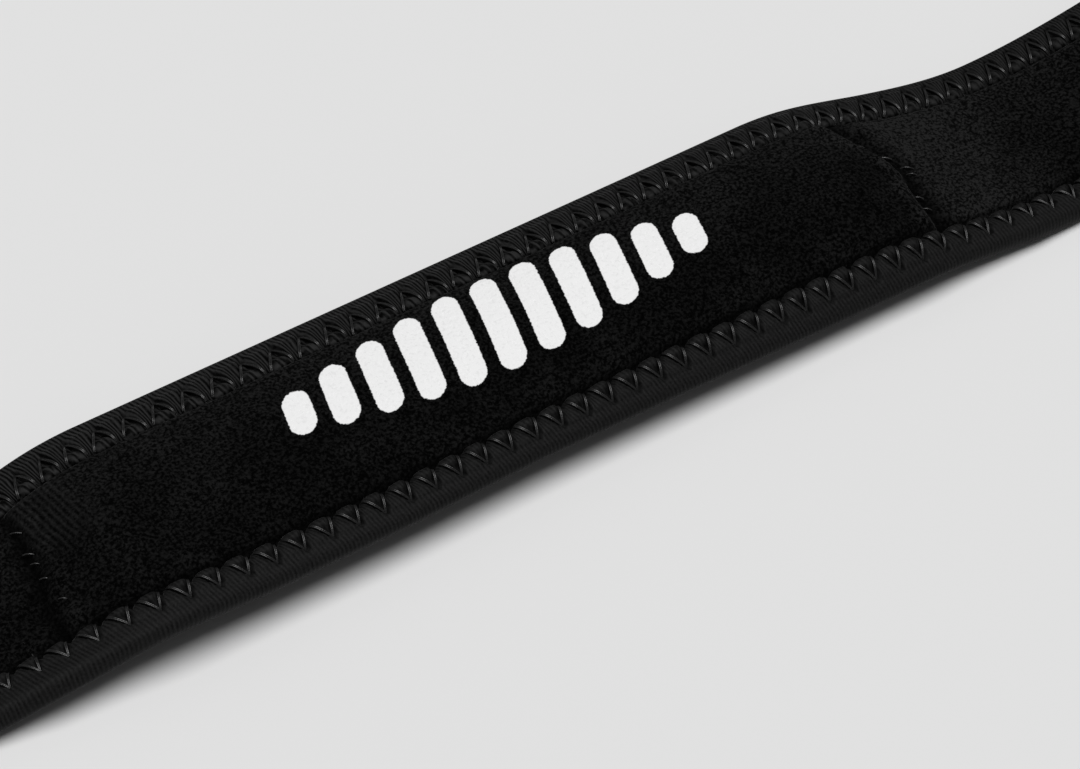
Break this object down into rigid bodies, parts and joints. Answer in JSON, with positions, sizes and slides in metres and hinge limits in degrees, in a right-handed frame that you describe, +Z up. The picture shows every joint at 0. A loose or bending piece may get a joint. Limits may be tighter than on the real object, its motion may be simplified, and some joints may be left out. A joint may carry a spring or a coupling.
{
  "type": "patella strap",
  "caption": "Knee strap lying open: padded neoprene band with a plush face, folded edge binding, tubular pad beneath and a hook tab.",
  "frame": {"origin": "centre of the bounding box on the surface that the strap lies on, under the middle of the pad", "axes": "+X along the strap, +Y across it towards the far edge, +Z up out of the plush face"},
  "size_m": [0.44, 0.05, 0.019],
  "materials": {
    "plush_neoprene": "brushed loop pile laminated to neoprene",
    "binding_tape": "ribbed elastic tape with zigzag stitching",
    "pad_cover": "smooth jersey over foam",
    "hook_tape": "moulded hook tape"
  },
  "bodies": {
    "root": {"band": "plush_neoprene", "edge_binding": "binding_tape", "pad": "pad_cover", "hook_tab": "hook_tape"}
  },
  "joints": []
}
